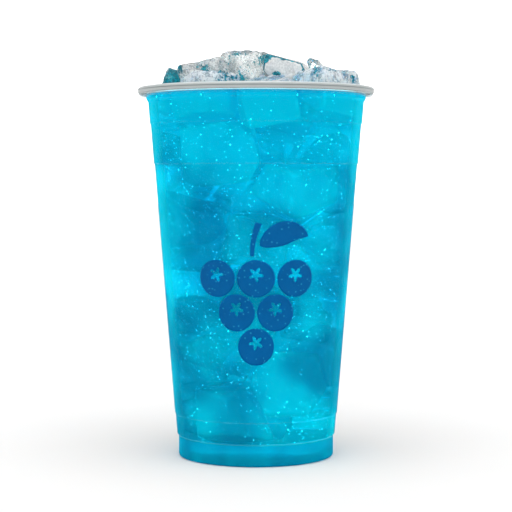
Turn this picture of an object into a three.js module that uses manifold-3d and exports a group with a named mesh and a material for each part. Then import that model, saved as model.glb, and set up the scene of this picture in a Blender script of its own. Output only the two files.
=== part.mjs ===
// Berry lemonade: a clear plastic cold cup filled with blue drink, with ice heaped above the rim.
// Millimetres, +Z up, the origin at the centre of the foot that the cup stands on. The front is -Y.
import * as THREE from "three";
import { mergeVertices } from "three/addons/utils/BufferGeometryUtils.js";
import Module from "manifold-3d";

const wasm = await Module();
wasm.setup();

// The cup is the 24 oz size: 98 mm across its rolled rim, and about 153 mm tall.
const CUP = {
  height: 153.1,
  rimRadius: 49.0,
  wall: 0.5,
  taper: 0.079, // how much the radius grows for each millimetre of height
  aroundSteps: 56,
};
// The underside: a flat ring that the cup stands on, round a recess that is domed a little.
const FOOT = { cornerRadius: 1.0, ringInside: 28.6, recessRadius: 27.4, recessHeight: 3.6, dome: 0.3 };
const BAND = { radius: 32.35, height: 8.9 }; // the straight band under the stacking ledge
const LEDGE = { overhang: 0.65, rise: 0.4 };
// Each ring is a small outward step in the wall: how far up it is, and how far the wall steps out there.
const RINGS = [
  { height: 17.5, step: 0.32, rise: 0.7 },
  { height: 121.0, step: 0.36, rise: 0.8 },
  { height: 137.5, step: 0.36, rise: 0.8 },
  { height: 147.0, step: 0.76, rise: 1.0 },
];
// The rolled lip round the mouth. Its widest line lies near its top, and it hangs down further below that.
const LIP = { width: 3.5, above: 1.15, below: 2.95, from: -105, to: 150, arcSteps: 8, innerDrop: 1.5 };
const DRINK = { level: 150.3, gap: 0.3 };

// A piece of ice is a rounded block that the melt has worn: planes with a soft corner between them.
const ICE = {
  cornerPower: 11, // the higher it is, the sharper the block's edges are
  meltDepth: 0.07, // how deep the hollows of the melt are, as a share of the radius
  spacing: 0.4, // the gap that is left between two neighbours
  wallGap: 0.7, // the gap to the inside of the cup
  drinkGap: 0.5, // the gap to the drink that it floats in
  floatingFacets: 2, // how often each edge of the icosahedron is divided
  crownFacets: 3,
};
// The floating layer: rings of blocks that bob at the drink's surface, a little right of the middle. A ring
// rides higher at its left and right by its swell, and lower at its front and back.
const FLOATING = [
  { count: 8, ring: 31.6, shift: 1.6, height: 148.2, swell: 1.5, start: 4, half: [11.2, 11.4, 9.0] },
  { count: 3, ring: 12.5, shift: 0, height: 146.2, swell: 0, start: 70, half: [12.4, 11.8, 9.4] },
];
const SCATTER = { around: 7, across: 0.8, up: 0.8, size: 0.09, tilt: -15 }; // how much the floating blocks vary
// The crown: the blocks that lie on the floating ones. Each has its place, its half sizes and its turn in degrees.
const CROWN = [
  { name: "peak", at: [-4.2, -3.5, 159.6], half: [9.2, 9.2, 8.4], turn: [6, 2, 34] },
  { name: "slab", at: [15.0, -9.5, 156.6], half: [13.6, 10.0, 7.2], turn: [4, 15, -6] },
  { name: "left", at: [-21.5, -8.0, 155.2], half: [11.6, 9.8, 7.8], turn: [-6, -16, 10] },
  { name: "rear_left", at: [-18.0, 13.5, 155.4], half: [10.6, 9.6, 7.8], turn: [14, -12, 38] },
  { name: "rear_right", at: [9.5, 15.0, 156.2], half: [11.4, 10.2, 7.4], turn: [-12, 8, -31] },
  { name: "corner", at: [-34.2, -5.0, 154.2], half: [4.4, 5.0, 6.0], turn: [0, 22, 6] },
  { name: "knob", at: [23.6, -11.0, 160.6], half: [3.2, 3.1, 2.9], turn: [20, 30, 40] },
];

const radians = THREE.MathUtils.degToRad;
const underLip = CUP.height - LIP.above - LIP.below;

// A steady stand-in for chance: the same number from -1 to 1 each time, for a piece and one of its traits.
function vary(piece, trait) {
  const wave = Math.sin(piece * 12.9898 + trait * 78.233) * 43758.5453;
  return 2 * (wave - Math.floor(wave)) - 1;
}

// The outside of the cup's wall from the foot's corner to the lip, as [radius, height] points going up.
function wallOutside() {
  const corner = FOOT.cornerRadius;
  const points = [];
  for (const degrees of [-90, -45, 0]) {
    points.push([
      BAND.radius - corner + corner * Math.cos(radians(degrees)),
      corner + corner * Math.sin(radians(degrees)),
    ]);
  }
  points.push([BAND.radius, BAND.height]);
  let radius = BAND.radius + LEDGE.overhang;
  let height = BAND.height + LEDGE.rise;
  points.push([radius, height]);
  for (const ring of RINGS) {
    radius += CUP.taper * (ring.height - height);
    points.push([radius, ring.height]);
    radius += ring.step;
    height = ring.height + ring.rise;
    points.push([radius, height]);
  }
  points.push([radius, underLip]);
  return points;
}

// The inside of the wall from the band up to a height, one wall thickness in and pushed in further by a gap.
function wallInside(gap, top) {
  const inset = CUP.wall + gap;
  const up = wallOutside()
    .filter(([, height]) => height >= BAND.height)
    .map(([radius, height]) => [radius - inset, height]);
  const below = up.filter(([, height]) => height < top);
  return [...below, [below.at(-1)[0], top]];
}

// The inside of the floor, from the axis out: over the recess, then down into the groove behind the foot.
function floorInside(gap) {
  const inset = CUP.wall + gap;
  const side = BAND.radius - inset;
  const corner = FOOT.cornerRadius;
  return [
    [0, FOOT.recessHeight + inset],
    [FOOT.recessRadius + 0.6 * inset, FOOT.recessHeight - FOOT.dome + inset],
    [FOOT.ringInside + inset, inset],
    [side - corner, inset],
    [side, corner + inset],
  ];
}

// The rolled lip in section, from its underside out, over the top and in to the inner wall.
function lip() {
  const inner = wallOutside().at(-1)[0] - CUP.wall;
  const points = [];
  for (let step = 0; step <= LIP.arcSteps; step += 1) {
    const angle = radians(LIP.from + ((LIP.to - LIP.from) * step) / LIP.arcSteps);
    const tall = Math.sin(angle) > 0 ? LIP.above : LIP.below;
    points.push([
      CUP.rimRadius - LIP.width / 2 + (LIP.width / 2) * Math.cos(angle),
      CUP.height - LIP.above + tall * Math.sin(angle),
    ]);
  }
  return [...points, [inner, CUP.height - LIP.innerDrop]];
}

// A closed outline of [radius, height] points turned into a solid of revolution round Z.
function turned(outline) {
  const points = outline.map(([radius, height]) => new THREE.Vector2(radius, height));
  const geometry = new THREE.LatheGeometry(points, CUP.aroundSteps);
  return geometry.rotateX(Math.PI / 2);
}

// A three.js geometry as a manifold solid, with only the places of its corners kept.
function solidFrom(geometry) {
  const bare = geometry.clone();
  bare.deleteAttribute("normal");
  bare.deleteAttribute("uv");
  const merged = mergeVertices(bare, 1e-4);
  return new wasm.Manifold(
    new wasm.Mesh({
      numProp: 3,
      vertProperties: new Float32Array(merged.attributes.position.array),
      triVerts: new Uint32Array(merged.index.array),
    }),
  );
}

// The largest body of a manifold solid, as a three.js geometry. Loose scraps are dropped.
function geometryFrom(solid) {
  const bodies = solid.decompose().sort((one, other) => other.volume() - one.volume());
  const mesh = bodies[0].getMesh();
  const geometry = new THREE.BufferGeometry();
  geometry.setAttribute("position", new THREE.BufferAttribute(mesh.vertProperties, 3));
  geometry.setIndex(new THREE.BufferAttribute(mesh.triVerts, 1));
  geometry.computeVertexNormals();
  return geometry;
}

// Every block of ice, with its place, half sizes and axes.
function iceBlocks() {
  const blocks = [];
  for (const layer of FLOATING) {
    for (let index = 0; index < layer.count; index += 1) {
      const piece = blocks.length + 1;
      const angle = radians(layer.start + (360 * index) / layer.count + SCATTER.around * vary(piece, 1));
      const ring = layer.ring + SCATTER.across * vary(piece, 2);
      const height = layer.height + layer.swell * Math.cos(2 * angle) + SCATTER.up * vary(piece, 3);
      blocks.push({
        name: `ice_floating_${String(piece).padStart(2, "0")}`,
        at: [layer.shift + ring * Math.cos(angle), ring * Math.sin(angle), height],
        half: layer.half.map((size, axis) => size * (1 + SCATTER.size * vary(piece, 4 + axis))),
        turn: [SCATTER.tilt * vary(piece, 7), SCATTER.tilt * vary(piece, 8), 180 * vary(piece, 9)],
        facets: ICE.floatingFacets,
      });
    }
  }
  for (const block of CROWN) {
    blocks.push({ ...block, name: `ice_${block.name}`, facets: ICE.crownFacets });
  }
  return blocks.map((block, index) => ({
    ...block,
    piece: index + 1,
    centre: new THREE.Vector3(...block.at),
    axes: new THREE.Matrix4().makeRotationFromEuler(new THREE.Euler(...block.turn.map(radians))),
  }));
}

// The planes that bound a block: its own six faces, and one halfway to each neighbour that is near.
// Each plane is a unit normal and its distance from the block's centre.
function boundingPlanes(block, blocks) {
  const planes = [];
  block.half.forEach((size, axis) => {
    const normal = new THREE.Vector3().setFromMatrixColumn(block.axes, axis);
    planes.push({ normal, distance: size }, { normal: normal.clone().negate(), distance: size });
  });
  const reach = Math.hypot(...block.half);
  for (const other of blocks) {
    const away = other.centre.clone().sub(block.centre);
    const apart = away.length();
    const otherReach = Math.hypot(...other.half);
    if (other === block || apart > reach + otherReach) continue;
    const share = reach / (reach + otherReach);
    planes.push({ normal: away.normalize(), distance: apart * share - ICE.spacing / 2 });
  }
  return planes;
}

// The melt at a direction from a block's centre, from 0 to 1: two slow waves that cross, and two faster ones.
function meltAt(piece, { x, y, z }) {
  const phase = piece * 2.4;
  const slow = Math.sin(3.1 * x + 2.3 * y + phase) * Math.sin(2.7 * z - 1.9 * x + 1.7 * phase);
  const fast = Math.sin(5.3 * y - 4.1 * z + 0.6 * phase) * Math.sin(4.7 * x + 3.7 * z - phase);
  return (1.5 + slow + 0.5 * fast) / 3;
}

// How far a block reaches from its centre in a direction: the soft least of the distances to its planes,
// less the hollows that the melt has worn.
function reachOf(block, planes, direction) {
  let sum = 0;
  for (const { normal, distance } of planes) {
    const lean = normal.dot(direction) / distance;
    if (lean > 0) sum += lean ** ICE.cornerPower;
  }
  return sum ** (-1 / ICE.cornerPower) * (1 - ICE.meltDepth * meltAt(block.piece, direction));
}

// The cup's inside radius at a height.
function insideRadius(height) {
  const points = wallOutside();
  const above = points.findIndex((point) => point[1] >= height);
  const [low, high] = [points[above - 1], points[above]];
  const share = (height - low[1]) / (high[1] - low[1]);
  return low[0] + share * (high[0] - low[0]) - CUP.wall;
}

// How far a point may lie from a block's centre before it comes too near the inside of the cup.
// A point above the wall's top is held to the neck.
function reachToWall(block, direction, reach) {
  const height = Math.min(block.centre.z + direction.z * reach, underLip);
  const limit = insideRadius(height) - ICE.wallGap;
  const { x, y } = block.centre;
  const across = direction.x ** 2 + direction.y ** 2;
  if (across === 0) return Infinity;
  const along = (x * direction.x + y * direction.y) / across;
  return -along + Math.sqrt(along ** 2 + (limit ** 2 - x ** 2 - y ** 2) / across);
}

// A block's geometry: an icosahedron's corners moved out to its reach, and out by a margin more.
function iceGeometry(block, blocks, margin) {
  const geometry = new THREE.IcosahedronGeometry(1, block.facets);
  const planes = boundingPlanes(block, blocks);
  const places = geometry.attributes.position;
  const direction = new THREE.Vector3();
  for (let corner = 0; corner < places.count; corner += 1) {
    direction.fromBufferAttribute(places, corner).normalize();
    const reach = reachOf(block, planes, direction);
    direction.multiplyScalar(Math.min(reach, reachToWall(block, direction, reach)) + margin);
    places.setXYZ(corner, direction.x, direction.y, direction.z);
  }
  return geometry;
}

const CLEAR_PLASTIC = new THREE.MeshStandardMaterial({
  color: 0xdfe5e8,
  roughness: 0.08,
  metalness: 0,
  transparent: true,
  opacity: 0.3,
});
const BLUE_DRINK = new THREE.MeshStandardMaterial({ color: 0x05b0d8, roughness: 0.15, metalness: 0 });
const CLEAR_ICE = new THREE.MeshStandardMaterial({
  color: 0xd9e6ea,
  roughness: 0.1,
  metalness: 0,
  transparent: true,
  opacity: 0.6,
});

// The cup: from the axis out under the floor, up the outside, over the lip and back down the inside.
function cup() {
  const underside = [
    [0, FOOT.recessHeight],
    [FOOT.recessRadius, FOOT.recessHeight - FOOT.dome],
    [FOOT.ringInside, 0],
  ];
  const inside = [...floorInside(0), ...wallInside(0, underLip)];
  const outline = [...underside, ...wallOutside(), ...lip(), ...inside.reverse()];
  const mesh = new THREE.Mesh(turned(outline), CLEAR_PLASTIC);
  mesh.name = "cup";
  return mesh;
}

function ice(blocks) {
  return blocks.map((block) => {
    const mesh = new THREE.Mesh(iceGeometry(block, blocks, 0), CLEAR_ICE);
    mesh.name = block.name;
    mesh.position.copy(block.centre);
    return mesh;
  });
}

// The drink fills the cup up to its level, less the hollows that the floating ice leaves in it.
function drink(blocks) {
  const outline = [...floorInside(DRINK.gap), ...wallInside(DRINK.gap, DRINK.level), [0, DRINK.level]];
  let solid = solidFrom(turned(outline));
  for (const block of blocks) {
    const hollow = iceGeometry(block, blocks, ICE.drinkGap);
    hollow.translate(...block.centre);
    solid = solid.subtract(solidFrom(hollow));
  }
  const mesh = new THREE.Mesh(geometryFrom(solid), BLUE_DRINK);
  mesh.name = "drink";
  return mesh;
}

const blocks = iceBlocks();
const lemonade = new THREE.Group();
lemonade.add(cup(), drink(blocks), ...ice(blocks));

export default lemonade;
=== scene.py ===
"""Looks for an iced berry lemonade in a tall clear cup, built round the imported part.

Lengths are in millimetres until a mesh is made, which turns them into metres. +Z is up, the front is -Y,
and the origin is the centre of the cup's foot.
"""

import logging
import math
from collections.abc import Callable, Sequence
from dataclasses import dataclass, field, replace
from enum import Enum

import bpy
import numpy as np
from numpy.typing import NDArray
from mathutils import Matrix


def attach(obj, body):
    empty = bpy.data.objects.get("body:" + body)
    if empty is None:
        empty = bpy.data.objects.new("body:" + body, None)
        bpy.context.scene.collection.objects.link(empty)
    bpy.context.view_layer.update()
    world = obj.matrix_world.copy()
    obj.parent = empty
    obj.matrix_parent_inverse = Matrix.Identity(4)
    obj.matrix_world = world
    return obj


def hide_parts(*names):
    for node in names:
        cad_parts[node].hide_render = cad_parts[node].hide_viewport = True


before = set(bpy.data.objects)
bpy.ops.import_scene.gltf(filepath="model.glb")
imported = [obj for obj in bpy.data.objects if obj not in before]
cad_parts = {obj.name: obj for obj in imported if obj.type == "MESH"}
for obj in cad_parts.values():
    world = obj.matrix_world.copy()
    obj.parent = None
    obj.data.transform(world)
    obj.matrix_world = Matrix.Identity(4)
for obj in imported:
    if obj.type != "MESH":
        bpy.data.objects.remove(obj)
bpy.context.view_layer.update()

Array = NDArray[np.float64]
Numbers = NDArray[np.int64]
Colour = tuple[float, float, float]
log = logging.getLogger("lemonade")
METRES = 0.001  # one millimetre
NOTHING = 1e-9  # a length that counts as 0


class Slot(Enum):
    """The record's material slots."""

    PLASTIC = "clear_plastic"
    DRINK = "blue_drink"
    ICE = "clear_ice"


# Meshes


def quads(number: Numbers) -> Numbers:
    """The quads between the rows and columns of a grid of vertex numbers."""
    corners = [number[:-1, :-1], number[:-1, 1:], number[1:, 1:], number[1:, :-1]]
    return np.stack(corners, axis=-1).reshape(-1, 4)


def placed(name: str, data: bpy.types.ID) -> bpy.types.Object:
    """Links a new object that holds a mesh, a camera or a light."""
    made = bpy.data.objects.new(name, data)
    bpy.context.scene.collection.objects.link(made)
    return made


@dataclass
class Shell:
    """Vertices and faces that grow into one mesh.

    Attributes:
        points: one array of vertices for each part that was added.
        faces: arrays of vertex numbers, one row a face, of three or four columns.
    """

    points: list[Array] = field(default_factory=list)
    faces: list[Numbers] = field(default_factory=list)
    count: int = 0

    def add(self, points: Array, *faces: Numbers) -> None:
        """Adds vertices, and faces that number them from 0."""
        self.points.append(points.reshape(-1, 3))
        self.faces += [part + self.count for part in faces if len(part)]
        self.count += len(self.points[-1])

    def add_sheet(self, grid: Array, around: bool = False, along: bool = False) -> None:
        """Adds a grid of points as quads.

        Args:
            grid: rows by columns by 3. Faces point to the side from which rows go up and columns go right.
            around: whether the last column joins the first.
            along: whether the last row joins the first.
        """
        rows, columns = grid.shape[:2]
        number = np.arange(rows * columns).reshape(rows, columns)
        if around:
            number = np.hstack([number, number[:, :1]])
        if along:
            number = np.vstack([number, number[:1]])
        self.add(grid, quads(number))

    def add_fan(self, tip: Array, ring: Numbers, upwards: bool) -> None:
        """Closes a ring of vertices with triangles to one new vertex.

        Args:
            tip: the new vertex.
            ring: the numbers of the ring's vertices within the whole mesh.
            upwards: whether the triangles run the same way round as the ring.
        """
        pair = np.stack([ring, np.roll(ring, -1)], axis=-1)
        pair = pair if upwards else pair[:, ::-1]
        self.add(tip[None], np.hstack([np.zeros((len(ring), 1), int), pair - self.count]))

    def add_tube(self, grid: Array, first_tip: Array | None = None, last_tip: Array | None = None) -> None:
        """Adds rings of points one after another, and a tip that closes each end where it's given.

        Args:
            grid: rings by points by 3. Faces point to the side from which rings go up and points go right.
            first_tip: the point that closes the first ring.
            last_tip: the point that closes the last ring.
        """
        start = self.count
        self.add_sheet(grid, around=True)
        rings, across = grid.shape[:2]
        if first_tip is not None:
            self.add_fan(first_tip, start + np.arange(across), False)
        if last_tip is not None:
            self.add_fan(last_tip, start + (rings - 1) * across + np.arange(across), True)

    def add_turned(self, radius: Array, height: Array, steps: int) -> None:
        """Adds a solid of revolution round Z.

        Args:
            radius: the outline's radii, anticlockwise in the half plane of positive radius. Where the first
                and the last are 0, they become poles.
            height: the outline's heights.
            steps: how many sides the solid has.
        """
        angle = np.linspace(0, 2 * np.pi, steps, endpoint=False)
        outline = np.stack([radius, height], axis=-1)
        poles = np.stack([0 * height, 0 * height, height], axis=-1)
        rings = outline[outline[:, 0] > NOTHING]
        across = np.stack([np.cos(angle), np.sin(angle)], axis=-1)
        grid = np.empty((len(rings), steps, 3))
        grid[..., :2] = rings[:, None, :1] * across
        grid[..., 2] = rings[:, None, 1]
        if radius[0] < NOTHING:
            self.add_tube(grid, poles[0], poles[-1])
        else:
            self.add_sheet(grid, around=True, along=True)

    def middles(self) -> Array:
        """The middle of each face."""
        points = np.concatenate(self.points)
        return np.concatenate([points[part].mean(axis=1) for part in self.faces])

    def object(
        self,
        name: str,
        *materials: bpy.types.Material,
        choice: Numbers | None = None,
        smooth: bool = True,
    ) -> bpy.types.Object:
        """Makes the mesh, in metres, and links an object that holds it.

        Args:
            name: the piece's name.
            materials: its finishes.
            choice: which finish each face has, where there are several.
            smooth: whether its faces are shaded smooth.

        Returns:
            The new object, at the origin.
        """
        mesh = bpy.data.meshes.new(name)
        points = np.concatenate(self.points) * METRES
        loops = np.concatenate([part.ravel() for part in self.faces])
        widths = np.concatenate([np.full(len(part), part.shape[1]) for part in self.faces])
        starts = np.concatenate([[0], np.cumsum(widths)[:-1]])
        mesh.vertices.add(len(points))
        mesh.vertices.foreach_set("co", points.astype(np.float32).ravel())
        mesh.loops.add(len(loops))
        mesh.loops.foreach_set("vertex_index", loops.astype(np.int32))
        mesh.polygons.add(len(widths))
        mesh.polygons.foreach_set("loop_start", starts.astype(np.int32))
        mesh.polygons.foreach_set("use_smooth", np.full(len(widths), smooth))
        for material in materials:
            mesh.materials.append(material)
        if choice is not None:
            mesh.polygons.foreach_set("material_index", choice.astype(np.int32))
        mesh.update(calc_edges=True)
        return placed(name, mesh)


def mark(piece: bpy.types.Object, name: str, values: Array) -> None:
    """Gives a piece's vertices an attribute that its material can read."""
    made = piece.data.attributes.new(name, "FLOAT", "POINT")
    made.data.foreach_set("value", values.astype(np.float32))


def settle(piece: bpy.types.Object, slot: Slot, nodes: Sequence[str] = ()) -> bpy.types.Object:
    """Makes a piece ride on the body, hides the imported nodes that it stands for, and reports it with its
    slot.
    """
    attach(piece, "root")
    if nodes:
        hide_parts(*nodes)
    log.info("%s: %d faces, slot %s", piece.name, len(piece.data.polygons), slot.value)
    return piece


# Noise


def hashed(cells: Numbers, seed: int) -> Array:
    """A number from 0 to 1 for each integer cell: large primes times its coordinates, mixed."""
    x, y, z = (cells[..., axis] for axis in range(3))
    mixed = x * 73856093 ^ y * 19349663 ^ z * 83492791 ^ seed * 2654435761
    mixed = (mixed ^ (mixed >> 13)) * 1274126177 & 0x7FFFFFFF
    mixed = (mixed ^ (mixed >> 16)) & 0xFFFFFF
    return mixed / float(0xFFFFFF)


def cloud(points: Array, scale: float, seed: int) -> Array:
    """Smooth noise from 0 to 1: the eight corners of each cell of a lattice, blended by a smooth step."""
    place = points / scale
    low = np.floor(place).astype(np.int64)
    part = place - low
    part = part * part * (3 - 2 * part)
    total = np.zeros(len(points))
    for corner in np.ndindex(2, 2, 2):
        weight = np.prod(np.where(np.array(corner) == 1, part, 1 - part), axis=-1)
        total += weight * hashed(low + np.array(corner), seed)
    return total


def dimples(points: Array, scale: float, seed: int) -> Array:
    """How far off the closest of scattered points is, up to about 1: bowls with ridges between them."""
    place = points / scale
    low = np.floor(place).astype(np.int64)
    nearest = np.full(len(points), 9.0)
    for step in np.ndindex(3, 3, 3):
        cell = low + np.array(step) - 1
        spot = cell + np.stack([hashed(cell, seed + axis) for axis in range(3)], axis=-1)
        nearest = np.minimum(nearest, np.sum((spot - place) ** 2, axis=-1))
    return np.sqrt(nearest)


# Shader maths


@dataclass(frozen=True)
class Wire:
    """A socket of a material that can be used in Python expressions: each operator adds a Math node."""

    tree: bpy.types.NodeTree
    socket: bpy.types.NodeSocket

    def math(self, operation: str, *values: "Wire | float", swap: bool = False) -> "Wire":
        """A Math node on this socket and others.

        Args:
            operation: the node's operation.
            values: the other operands.
            swap: whether this socket comes second.

        Returns:
            The node's result.
        """
        node = self.tree.nodes.new("ShaderNodeMath")
        node.operation = operation
        operands = [*values[:1], self, *values[1:]] if swap else [self, *values]
        for slot, value in zip(node.inputs, operands):
            if isinstance(value, Wire):
                self.tree.links.new(value.socket, slot)
            else:
                slot.default_value = value
        return Wire(self.tree, node.outputs[0])

    def __add__(self, other: "Wire | float") -> "Wire":
        """The sum."""
        return self.math("ADD", other)

    __radd__ = __add__

    def __sub__(self, other: "Wire | float") -> "Wire":
        """The difference."""
        return self.math("SUBTRACT", other)

    def __rsub__(self, other: float) -> "Wire":
        """A number less this."""
        return self.math("SUBTRACT", other, swap=True)

    def __mul__(self, other: "Wire | float") -> "Wire":
        """The product."""
        return self.math("MULTIPLY", other)

    __rmul__ = __mul__

    def __truediv__(self, other: "Wire | float") -> "Wire":
        """The quotient."""
        return self.math("DIVIDE", other)

    def between(self, low: float, high: float) -> "Wire":
        """0 below low, 1 above high, and a smooth rise in between."""
        share = ((self - low) / (high - low)).math("MAXIMUM", 0.0).math("MINIMUM", 1.0)
        return share * share * (3.0 - 2.0 * share)

    def near(self, middle: float, reach: float) -> "Wire":
        """1 at a middle value, and straight down to 0 at a reach from it."""
        return 1.0 - ((self - middle) / reach).math("ABSOLUTE").math("MINIMUM", 1.0)


class Recipe:
    """A new material and the nodes in it."""

    def __init__(self, name: str) -> None:
        """Starts an empty node tree with an output."""
        self.material = bpy.data.materials.new(name)
        self.material.use_nodes = True
        self.tree = self.material.node_tree
        self.tree.nodes.clear()
        self.output = self.tree.nodes.new("ShaderNodeOutputMaterial")

    def node(
        self, kind: str, settings: dict[str, object] | None = None, **sockets: object
    ) -> bpy.types.Node:
        """Adds a node.

        Args:
            kind: the node's type, without its ShaderNode prefix.
            settings: properties that are set before the sockets, such as an operation.
            sockets: values or wires, by socket name with underscores for spaces.

        Returns:
            The node.
        """
        node = self.tree.nodes.new("ShaderNode" + kind)
        for name, value in (settings or {}).items():
            setattr(node, name, value)
        for name, value in sockets.items():
            slot = node.inputs[name.replace("_", " ")]
            if isinstance(value, Wire):
                self.tree.links.new(value.socket, slot)
            else:
                slot.default_value = value
        return node

    def wire(self, node: bpy.types.Node, output: int | str = 0) -> Wire:
        """One of a node's outputs."""
        return Wire(self.tree, node.outputs[output])

    def place(self) -> Wire:
        """The point's place on the object, in metres."""
        return self.wire(self.node("TexCoord"), "Object")

    def axis(self, name: str) -> Wire:
        """The point's place along one axis, in millimetres."""
        return self.wire(self.node("SeparateXYZ", Vector=self.place()), name) * (1 / METRES)

    def facing(self, **sockets: Wire) -> Wire:
        """How low the angle is at which the surface is seen, from 0 to 1."""
        return self.wire(self.node("LayerWeight", Blend=0.5, **sockets), "Facing")

    def trait(self, name: str) -> Wire:
        """The piece's attribute of that name."""
        return self.wire(self.node("Attribute", {"attribute_name": name}), "Fac")

    def noise(
        self, scale: float, detail: float = 2.0, roughness: float = 0.5, place: Wire | None = None
    ) -> Wire:
        """Soft noise from 0 to 1.

        Args:
            scale: the size of its blobs in millimetres.
            detail: how many finer layers it has.
            roughness: how strong they are.
            place: where it's read, or the object's own place.

        Returns:
            The noise.
        """
        where = place or self.place()
        scale = 1 / (scale * METRES)
        made = self.node("TexNoise", Vector=where, Scale=scale, Detail=detail, Roughness=roughness)
        return self.wire(made)

    def blend(self, share: Wire | float, low: Wire | Colour, high: Wire | Colour) -> Wire:
        """A colour between two, either of which may vary."""
        made = self.node("Mix", {"data_type": "RGBA"}, Factor=share)
        for slot, value in ((made.inputs[6], low), (made.inputs[7], high)):
            if isinstance(value, Wire):
                self.tree.links.new(value.socket, slot)
            else:
                slot.default_value = (*value, 1.0)
        return self.wire(made, 2)

    def bump(self, height: Wire, depth: float, strength: float = 1.0) -> Wire:
        """A bumped normal.

        Args:
            height: the relief from 0 to 1.
            depth: how tall that relief is, in millimetres.
            strength: how much of it shows.

        Returns:
            The normal.
        """
        return self.wire(self.node("Bump", Height=height, Distance=depth * METRES, Strength=strength))

    def mixed(self, share: Wire | float, low: bpy.types.Node, high: bpy.types.Node) -> bpy.types.Node:
        """A mix of two shaders."""
        made = self.node("MixShader", Fac=share)
        self.tree.links.new(low.outputs[0], made.inputs[1])
        self.tree.links.new(high.outputs[0], made.inputs[2])
        return made

    def finish(self, surface: bpy.types.Node, volume: bpy.types.Node | None = None) -> bpy.types.Material:
        """Joins the shaders to the output and gives the material."""
        self.tree.links.new(surface.outputs[0], self.output.inputs["Surface"])
        if volume:
            self.tree.links.new(volume.outputs[0], self.output.inputs["Volume"])
        return self.material


# Finishes


@dataclass(frozen=True)
class ClearPlastic:
    """The cup's thin, clear wall: it lets the light straight through, and mirrors more of it at a low angle.

    Attributes:
        mirror: the share that it mirrors head on.
        grazing: what is added at the lowest angle. At others it's less, by a fifth power.
        clear: its tint in the light that goes through.
        glare: its tint in the light that it mirrors.
        thick: the two tints of its painted refraction where the wall is bent: lines in the drink's colour.
        painted_refraction_lines: where those painted lines are, as the height, half width and strength of
            each line.
    """

    mirror: float = 0.003
    grazing: float = 0.04
    clear: Colour = (0.985, 0.995, 1.0)
    glare: Colour = (0.9, 0.97, 1.0)
    thick: tuple[Colour, Colour] = ((0.01, 0.6, 0.8), (0.05, 0.9, 1.0))
    painted_refraction_lines: tuple[tuple[float, float, float], ...] = (
        (9.0, 0.45, 0.55),
        (17.9, 0.35, 0.12),
        (121.4, 0.35, 0.12),
        (137.9, 0.35, 0.09),
        (147.6, 0.4, 0.05),
    )

    def material(self) -> bpy.types.Material:
        """Makes the material."""
        recipe = Recipe("clear_plastic")
        up = recipe.axis("Z")
        normal = recipe.bump(recipe.noise(9.0, 1.0), 0.05)
        share = self.mirror + self.grazing * recipe.facing(Normal=normal).math("POWER", 5.0)
        clear = recipe.node("BsdfTransparent", Color=(*self.clear, 1.0))
        gloss = recipe.node("BsdfGlossy", Color=(*self.glare, 1.0), Roughness=0.06, Normal=normal)
        thick = recipe.node(
            "BsdfPrincipled",
            Base_Color=recipe.blend(recipe.noise(12.0), *self.thick),
            Roughness=0.25,
            Specular_IOR_Level=0.15,
            Normal=normal,
        )
        # Painted refraction: at the ledge and the rings the wall shows lines in the drink's colour, painted
        # in for the drink seen through the bends.
        bent = recipe.noise(14.0, 1.0).between(0.3, 0.7) * 0.4 + 0.6
        total = 0.0
        for height, wide, strength in self.painted_refraction_lines:
            total = up.near(height, wide) * strength + total
        return recipe.finish(recipe.mixed(total * bent, recipe.mixed(share, clear, gloss), thick))


@dataclass(frozen=True)
class RolledPlastic:
    """The same plastic where it's rolled into the rim: clear in its skirt, and satin grey in the bead above,
    with a painted highlight along its top and painted shade in its groove.

    Attributes:
        crease: the height of the thin line of painted shade in the groove round the bead, in millimetres.
        bead: the height where the bead starts.
        bright: the heights between which the painted highlight on its top comes in.
        skirt: the heights between which the skirt starts to look satin at a low angle.
        clear: the skirt's tint in the light that goes through.
        dark: the colour of the painted shade in the groove.
        grey: the bead's colour: partly the haze of the thick rolled plastic, partly painted reflection.
        uneven: how much brighter the grey is in places.
        light: the colour of the painted highlight on the bead's top.
    """

    crease: float
    bead: float = 150.5
    bright: tuple[float, float] = (152.25, 152.8)
    skirt: tuple[float, float] = (149.6, 150.1)
    clear: Colour = (0.95, 0.99, 1.0)
    dark: Colour = (0.12, 0.16, 0.16)
    grey: Colour = (0.38, 0.41, 0.41)
    uneven: float = 1.15
    light: Colour = (0.72, 0.75, 0.75)

    def material(self) -> bpy.types.Material:
        """Makes the material."""
        recipe = Recipe("rolled_plastic")
        up, facing, blotches = recipe.axis("Z"), recipe.facing(), recipe.noise(9.0, 1.0)
        shift = blotches - 0.5
        clear = recipe.node("BsdfTransparent", Color=(*self.clear, 1.0))
        # The bead's grey is partly painted reflection.
        tone = recipe.blend(blotches, self.grey, tuple(self.uneven * part for part in self.grey))
        # Painted highlight: the grey turns light along the bead's top.
        tone = recipe.blend((up + 0.3 * shift).between(*self.bright), tone, self.light)
        # Painted shade: a dark line along the groove round the bead.
        satin = recipe.node(
            "BsdfPrincipled",
            Base_Color=recipe.blend(up.near(self.crease, 0.3) * 0.85, tone, self.dark),
            Roughness=0.3,
            IOR=1.45,
            Normal=recipe.bump(recipe.noise(4.0, 1.0), 0.06),
        )
        share = (up - 0.2 * shift).between(self.bead - 0.25, self.bead + 0.25) * 0.85
        share = share.math("MAXIMUM", facing.between(0.7, 1.0) * 0.4 + 0.01)
        share = share.math("MAXIMUM", facing.between(0.35, 0.75) * up.between(*self.skirt) * 0.6)
        return recipe.finish(recipe.mixed(share, clear, satin))


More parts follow.
